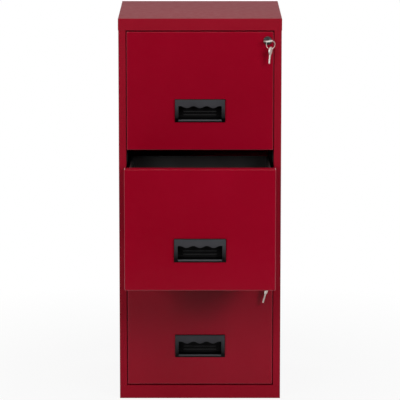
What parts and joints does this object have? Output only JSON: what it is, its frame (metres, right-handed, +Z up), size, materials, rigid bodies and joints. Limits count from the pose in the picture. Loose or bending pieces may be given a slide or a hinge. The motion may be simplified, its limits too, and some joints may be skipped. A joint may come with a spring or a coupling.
{
  "type": "filing cabinet",
  "caption": "Upright folded-steel filing cabinet with deep drawers on roller runners, moulded recessed handles, cam locks with keys, and a lock bar behind the right stile.",
  "frame": {"origin": "on the floor, under the middle of the carcass's footprint", "axes": "+Z up, +X to the right of someone facing the drawers, -Y out of the front, the way the drawers open"},
  "size_m": [0.4, 0.6742, 0.95],
  "materials": {
    "red_paint": "semi-gloss powder coat",
    "tub_paint": "satin black paint",
    "handle_plastic": "fine moulded texture",
    "roller_nylon": "plain moulded nylon",
    "zinc_steel": "zinc plated",
    "lock_black": "satin black",
    "key_nickel": "nickel plated"
  },
  "bodies": {
    "cabinet": {"back_panel": "red_paint", "base_tray": "red_paint", "bottom_left_runner": "zinc_steel", "bottom_right_runner": "zinc_steel", "cabinet_roller_pins": "zinc_steel", "left_front_upright": "tub_paint", "left_rear_upright": "tub_paint", "left_side": "red_paint", "lock_bar_guides": "tub_paint", "middle_left_runner": "zinc_steel", "middle_right_runner": "zinc_steel", "right_front_upright": "tub_paint", "right_rear_upright": "tub_paint", "right_side": "red_paint", "top_cap": "red_paint", "top_left_runner": "zinc_steel", "top_right_runner": "zinc_steel"},
    "lock_bar": {"lock_bar": "tub_paint"},
    "bottom_drawer": {"bottom_front": "red_paint", "bottom_tub": "tub_paint", "bottom_handle": "handle_plastic", "bottom_left_slide": "zinc_steel", "bottom_right_slide": "zinc_steel", "bottom_roller_pins": "zinc_steel", "bottom_lock_barrel": "lock_black", "bottom_lock_nut": "zinc_steel"},
    "bottom_front_rollers": {"bottom_front_rollers": "roller_nylon"},
    "bottom_rear_rollers": {"bottom_rear_rollers": "roller_nylon"},
    "middle_drawer": {"middle_front": "red_paint", "middle_tub": "tub_paint", "middle_handle": "handle_plastic", "middle_left_slide": "zinc_steel", "middle_right_slide": "zinc_steel", "middle_roller_pins": "zinc_steel", "middle_catch": "zinc_steel"},
    "middle_front_rollers": {"middle_front_rollers": "roller_nylon"},
    "middle_rear_rollers": {"middle_rear_rollers": "roller_nylon"},
    "top_drawer": {"top_front": "red_paint", "top_tub": "tub_paint", "top_handle": "handle_plastic", "top_left_slide": "zinc_steel", "top_right_slide": "zinc_steel", "top_roller_pins": "zinc_steel", "top_lock_barrel": "lock_black", "top_lock_nut": "zinc_steel"},
    "top_front_rollers": {"top_front_rollers": "roller_nylon"},
    "top_rear_rollers": {"top_rear_rollers": "roller_nylon"},
    "bottom_lock": {"bottom_lock_plug": "lock_black", "bottom_lock_cam": "zinc_steel"},
    "bottom_key": {"bottom_key": "key_nickel"},
    "bottom_ring": {"bottom_key_ring": "key_nickel"},
    "bottom_spare": {"bottom_spare_key": "key_nickel"},
    "top_lock": {"top_lock_plug": "lock_black", "top_lock_cam": "zinc_steel"},
    "top_key": {"top_key": "key_nickel"},
    "top_ring": {"top_key_ring": "key_nickel"},
    "top_spare": {"top_spare_key": "key_nickel"}
  },
  "joints": [
    {"name": "bottom_drawer_slide", "type": "slide", "parent": "cabinet", "child": "bottom_drawer", "axis": [0, -1, 0], "range_m": [0, 0.28]},
    {"name": "bottom_front_roller_spin", "type": "hinge", "parent": "cabinet", "child": "bottom_front_rollers", "pos_m": [0, -0.155, 0.096], "axis": [1, 0, 0], "continuous": true},
    {"name": "bottom_rear_roller_spin", "type": "hinge", "parent": "bottom_drawer", "child": "bottom_rear_rollers", "pos_m": [0, 0.1455, 0.096], "axis": [1, 0, 0], "continuous": true},
    {"name": "middle_drawer_slide", "type": "slide", "parent": "cabinet", "child": "middle_drawer", "axis": [0, -1, 0], "range_m": [-0.27, 0.01]},
    {"name": "middle_front_roller_spin", "type": "hinge", "parent": "cabinet", "child": "middle_front_rollers", "pos_m": [0, -0.155, 0.391], "axis": [1, 0, 0], "continuous": true},
    {"name": "middle_rear_roller_spin", "type": "hinge", "parent": "middle_drawer", "child": "middle_rear_rollers", "pos_m": [0, -0.1245, 0.391], "axis": [1, 0, 0], "continuous": true},
    {"name": "top_drawer_slide", "type": "slide", "parent": "cabinet", "child": "top_drawer", "axis": [0, -1, 0], "range_m": [0, 0.28]},
    {"name": "top_front_roller_spin", "type": "hinge", "parent": "cabinet", "child": "top_front_rollers", "pos_m": [0, -0.155, 0.686], "axis": [1, 0, 0], "continuous": true},
    {"name": "top_rear_roller_spin", "type": "hinge", "parent": "top_drawer", "child": "top_rear_rollers", "pos_m": [0, 0.1455, 0.686], "axis": [1, 0, 0], "continuous": true},
    {"name": "bottom_lock_turn", "type": "hinge", "parent": "bottom_drawer", "child": "bottom_lock", "pos_m": [0.165, -0.1992, 0.3063], "axis": [0, -1, 0], "range_deg": [0, 90]},
    {"name": "bottom_key_pull", "type": "slide", "parent": "bottom_lock", "child": "bottom_key", "axis": [0, -1, 0], "range_m": [0, 0.025]},
    {"name": "bottom_ring_turn", "type": "hinge", "parent": "bottom_key", "child": "bottom_ring", "pos_m": [0.165, -0.2192, 0.2933], "axis": [0, -1, 0], "range_deg": [-91, 1]},
    {"name": "bottom_spare_swing", "type": "hinge", "parent": "bottom_ring", "child": "bottom_spare", "pos_m": [0.165, -0.2192, 0.2828], "axis": [0, -1, 0], "range_deg": [-4, 36]},
    {"name": "top_lock_turn", "type": "hinge", "parent": "top_drawer", "child": "top_lock", "pos_m": [0.165, -0.1992, 0.8963], "axis": [0, -1, 0], "range_deg": [0, 90]},
    {"name": "top_key_pull", "type": "slide", "parent": "top_lock", "child": "top_key", "axis": [0, -1, 0], "range_m": [0, 0.025]},
    {"name": "top_ring_turn", "type": "hinge", "parent": "top_key", "child": "top_ring", "pos_m": [0.1717, -0.2192, 0.8887], "axis": [0, -1, 0], "range_deg": [-91, 1]},
    {"name": "top_spare_swing", "type": "hinge", "parent": "top_ring", "child": "top_spare", "pos_m": [0.1717, -0.2192, 0.8782], "axis": [0, -1, 0], "range_deg": [-15, 25]},
    {"name": "lock_bar_lift", "type": "slide", "parent": "cabinet", "child": "lock_bar", "axis": [0, 0, 1], "range_m": [0, 0.016]}
  ],
  "couplings": [
    {"joint": "bottom_front_roller_spin", "follows": "bottom_drawer_slide", "rad_per_m": 100},
    {"joint": "bottom_rear_roller_spin", "follows": "bottom_drawer_slide", "rad_per_m": 100},
    {"joint": "middle_front_roller_spin", "follows": "middle_drawer_slide", "rad_per_m": 100},
    {"joint": "middle_rear_roller_spin", "follows": "middle_drawer_slide", "rad_per_m": 100},
    {"joint": "top_front_roller_spin", "follows": "top_drawer_slide", "rad_per_m": 100},
    {"joint": "top_rear_roller_spin", "follows": "top_drawer_slide", "rad_per_m": 100},
    {"joint": "bottom_ring_turn", "follows": "bottom_lock_turn", "ratio": -1},
    {"joint": "top_lock_turn", "follows": "lock_bar_lift", "rad_per_m": 98.17},
    {"joint": "top_ring_turn", "follows": "lock_bar_lift", "rad_per_m": -98.17}
  ]
}
